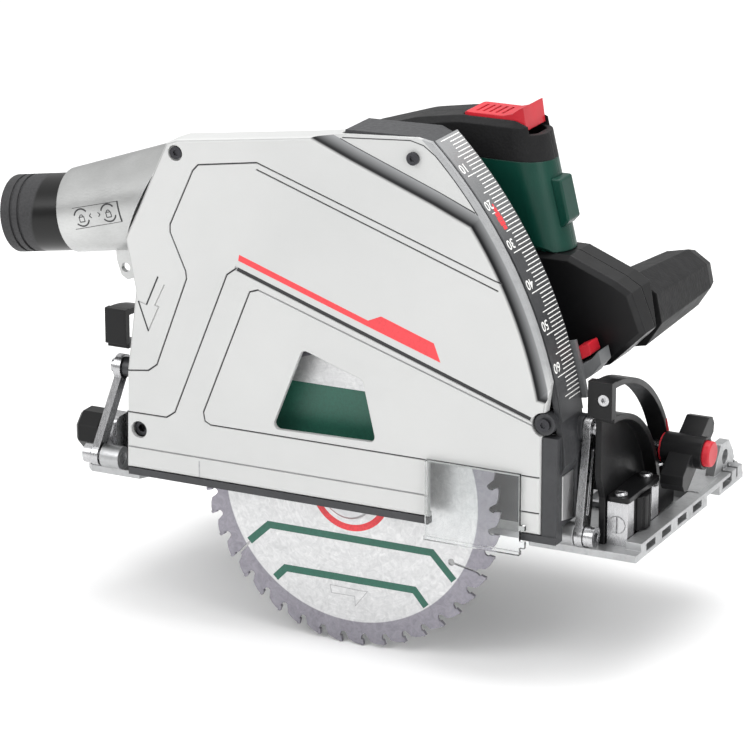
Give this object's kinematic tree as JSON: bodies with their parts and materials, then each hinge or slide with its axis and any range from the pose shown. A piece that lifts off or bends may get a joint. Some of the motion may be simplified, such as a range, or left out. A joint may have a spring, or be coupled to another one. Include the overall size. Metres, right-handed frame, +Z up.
{
  "type": "track plunge saw",
  "caption": "Plunge-cut circular saw for guide rails: tilting guard, swinging motor unit on a rear pivot, toothed disc blade, slotted tilt brackets and a grooved sole plate.",
  "frame": {"origin": "on the cut line at the sole, in the blade's middle plane, straight under the arbor at full depth", "axes": "+X in the cutting direction, +Y towards the motor, +Z up from the sole"},
  "size_m": [0.361, 0.193, 0.277],
  "materials": {
    "cast_aluminium": "cast and brushed",
    "glide_plastic": "satin",
    "black_metal": "satin black paint",
    "bright_steel": "polished",
    "dark_steel": "blackened",
    "brushed_steel": "brushed",
    "silver_cover": "satin silver white",
    "dark_casting": "satin dark grey",
    "scale_strip": "printed strip",
    "silver_sleeve": "satin silver",
    "black_plastic": "fine texture",
    "soft_grip": "soft matte",
    "green_plastic": "satin green",
    "red_plastic": "satin red",
    "clear_plastic": "clear",
    "blade_steel": "ground, printed",
    "copper": "enamelled wire",
    "lamination": "stacked sheet",
    "board_green": "circuit board",
    "fan_plastic": "moulded",
    "grey_plastic": "satin grey"
  },
  "bodies": {
    "base": {"base_plate": "cast_aluminium", "sole_strips": "glide_plastic", "front_tilt_bracket": "black_metal", "rear_tilt_bracket": "black_metal", "base_screws": "bright_steel", "trunnion_screws": "bright_steel", "adjuster_seats": "bright_steel", "adjuster_top": "black_plastic"},
    "front_adjuster": {"front_adjuster_wheel": "black_plastic"},
    "rear_adjuster": {"rear_adjuster_knob": "black_plastic"},
    "guard": {"guard_housing": "dark_casting", "side_cover": "silver_cover", "cover_screws": "dark_steel", "depth_scale": "scale_strip", "dust_sleeve": "silver_sleeve", "pivot_pin": "dark_steel", "plunge_spring": "brushed_steel", "swing_arms": "bright_steel", "tilt_bolts": "bright_steel", "bevel_pointer": "red_plastic"},
    "front_knob": {"front_tilt_knob": "black_plastic"},
    "rear_knob": {"rear_tilt_knob": "black_plastic"},
    "undercut": {"undercut_button": "red_plastic"},
    "chip_guard": {"chip_window": "clear_plastic"},
    "depth_stop": {"depth_stop_slider": "grey_plastic"},
    "depth_button": {"depth_stop_button": "red_plastic"},
    "dust_connector": {"dust_nozzle": "black_plastic"},
    "motor_unit": {"gearbox_housing": "dark_casting", "gearbox_cover": "cast_aluminium", "ball_bearings": "bright_steel", "motor_housing": "green_plastic", "motor_end_cap": "black_plastic", "stator": "lamination", "windings": "copper", "handle_right_shell": "green_plastic", "handle_left_shell": "green_plastic", "grip_right_half": "soft_grip", "grip_left_half": "soft_grip", "column_badge": "green_plastic", "handle_pins": "brushed_steel", "switch_module": "black_plastic", "electronics_board": "board_green", "front_handle_bracket": "black_plastic", "front_handle": "soft_grip", "casing_screws": "dark_steel"},
    "blade_spindle": {"spindle": "brushed_steel", "spindle_gear": "brushed_steel", "blade_flanges": "brushed_steel", "arbor_bolt": "bright_steel", "saw_blade": "blade_steel"},
    "counter_gears": {"countershaft": "brushed_steel", "countershaft_wheel": "brushed_steel"},
    "rotor": {"rotor_shaft": "brushed_steel", "rotor_core": "lamination", "fan": "fan_plastic"},
    "trigger": {"trigger": "red_plastic"},
    "release": {"plunge_release": "red_plastic"},
    "dial": {"speed_dial": "black_plastic"},
    "lock_button": {"spindle_lock_button": "black_plastic"}
  },
  "joints": [
    {"name": "tilt_hinge", "type": "hinge", "parent": "base", "child": "guard", "pos_m": [0, 0.006, 0.01], "axis": [1, 0, 0], "range_deg": [-1, 46]},
    {"name": "plunge_hinge", "type": "hinge", "parent": "guard", "child": "motor_unit", "pos_m": [-0.112, 0.014, 0.035], "axis": [0, -1, 0], "range_deg": [0, 35]},
    {"name": "blade_spin", "type": "hinge", "parent": "motor_unit", "child": "blade_spindle", "pos_m": [0, 0, 0.0165], "axis": [0, 1, 0], "continuous": true},
    {"name": "countershaft_spin", "type": "hinge", "parent": "motor_unit", "child": "counter_gears", "pos_m": [-0.00391, 0.03, 0.03866], "axis": [0, 1, 0], "continuous": true},
    {"name": "rotor_spin", "type": "hinge", "parent": "motor_unit", "child": "rotor", "pos_m": [-0.01588, 0.09, 0.07155], "axis": [0, 1, 0], "continuous": true},
    {"name": "trigger_squeeze", "type": "hinge", "parent": "motor_unit", "child": "trigger", "pos_m": [0.026, 0.048, 0.174], "axis": [0, -1, 0], "range_deg": [0, 8], "stiffness_Nm_per_rad": 0.25, "springref_deg": -11.46},
    {"name": "release_press", "type": "hinge", "parent": "motor_unit", "child": "release", "pos_m": [0.0446, 0.048, 0.2039], "axis": [0, 1, 0], "range_deg": [0, 2.4], "stiffness_Nm_per_rad": 0.8, "springref_deg": -8.59},
    {"name": "dial_turn", "type": "hinge", "parent": "motor_unit", "child": "dial", "pos_m": [-0.078, 0.066, 0.122], "axis": [0, 1, 0], "range_deg": [-140, 140]},
    {"name": "lock_button_press", "type": "slide", "parent": "motor_unit", "child": "lock_button", "axis": [0, -1, 0], "range_m": [0, 0.003], "stiffness_N_per_m": 150, "springref_m": -0.004},
    {"name": "chip_window_slide", "type": "slide", "parent": "guard", "child": "chip_guard", "axis": [0, 0, 1], "range_m": [0, 0.008]},
    {"name": "depth_stop_slide", "type": "hinge", "parent": "guard", "child": "depth_stop", "pos_m": [-0.112, 0, 0.035], "axis": [0, -1, 0], "range_deg": [0, 26]},
    {"name": "depth_button_press", "type": "slide", "parent": "depth_stop", "child": "depth_button", "axis": [-0.9591, 0, -0.2832], "range_m": [0, 0.0018], "stiffness_N_per_m": 120, "springref_m": -0.003},
    {"name": "front_knob_turn", "type": "hinge", "parent": "guard", "child": "front_knob", "pos_m": [0.15, 0.07, 0.038], "axis": [1, 0, 0], "range_deg": [0, 90]},
    {"name": "undercut_press", "type": "slide", "parent": "guard", "child": "undercut", "axis": [-1, 0, 0], "range_m": [0, 0.003], "stiffness_N_per_m": 120, "springref_m": -0.003},
    {"name": "rear_knob_turn", "type": "hinge", "parent": "guard", "child": "rear_knob", "pos_m": [-0.15, 0.07, 0.038], "axis": [1, 0, 0], "range_deg": [0, 90]},
    {"name": "nozzle_swivel", "type": "hinge", "parent": "guard", "child": "dust_connector", "pos_m": [-0.185, 0.01, 0.1332], "axis": [-0.9887, 0, -0.15], "continuous": true},
    {"name": "front_adjuster_turn", "type": "hinge", "parent": "base", "child": "front_adjuster", "pos_m": [0.1356, 0.034, 0.015], "axis": [0, 0, 1], "range_deg": [-90, 90]},
    {"name": "rear_adjuster_turn", "type": "hinge", "parent": "base", "child": "rear_adjuster", "pos_m": [-0.16, 0.025, 0.0164], "axis": [1, 0, 0], "range_deg": [-90, 90]}
  ],
  "couplings": [
    {"joint": "countershaft_spin", "follows": "blade_spin", "ratio": -1.1429},
    {"joint": "rotor_spin", "follows": "blade_spin", "ratio": 4.6753}
  ]
}
